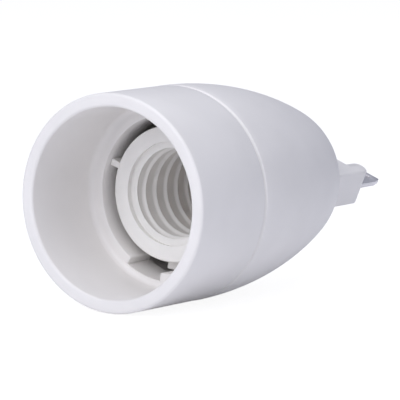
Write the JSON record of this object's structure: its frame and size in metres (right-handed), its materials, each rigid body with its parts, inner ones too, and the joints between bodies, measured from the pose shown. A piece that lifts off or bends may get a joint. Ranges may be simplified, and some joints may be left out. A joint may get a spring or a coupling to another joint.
{
  "type": "lamp socket adapter",
  "caption": "White bullet-shaped adapter with a deep collar round a small screw lamp socket and a flat-bladed plug on its crown.",
  "frame": {"origin": "centre of the plane of the open rim", "axes": "+Z along the lamp axis from the open mouth to the plug, +X along the wide side of the plug, +Y across it"},
  "size_m": [0.0324, 0.0324, 0.0665],
  "materials": {
    "housing_white": "smooth satin moulding",
    "insulator_white": "satin heat-resistant moulding",
    "contact_bronze": "bright rolled strip",
    "pin_metal": "nickel-plated strip",
    "rivet_metal": "dull plated brass",
    "screw_steel": "zinc-plated steel",
    "lead_brown": "wire insulation",
    "lead_blue": "wire insulation"
  },
  "bodies": {
    "holder": {"collar": "housing_white", "dome_housing": "housing_white", "threaded_sleeve": "insulator_white", "contact_base": "insulator_white", "centre_rivet": "rivet_metal", "side_rivet": "rivet_metal", "centre_terminal": "rivet_metal", "side_terminal": "rivet_metal", "live_pin": "pin_metal", "neutral_pin": "pin_metal", "pin_retainer": "insulator_white", "retainer_screw_1": "screw_steel", "retainer_screw_2": "screw_steel", "live_lead": "lead_brown", "neutral_lead": "lead_blue"},
    "centre_spring": {"centre_contact": "contact_bronze"},
    "side_spring": {"side_contact": "contact_bronze"}
  },
  "joints": [
    {"name": "centre_contact_press", "type": "hinge", "parent": "holder", "child": "centre_spring", "pos_m": [0, 0.0038, 0.03415], "axis": [-1, 0, 0], "range_deg": [0, 8], "stiffness_Nm_per_rad": 0.05},
    {"name": "side_contact_press", "type": "hinge", "parent": "holder", "child": "side_spring", "pos_m": [0, -0.0076, 0.03415], "axis": [-1, 0, 0], "range_deg": [0, 4.5], "stiffness_Nm_per_rad": 0.08}
  ]
}
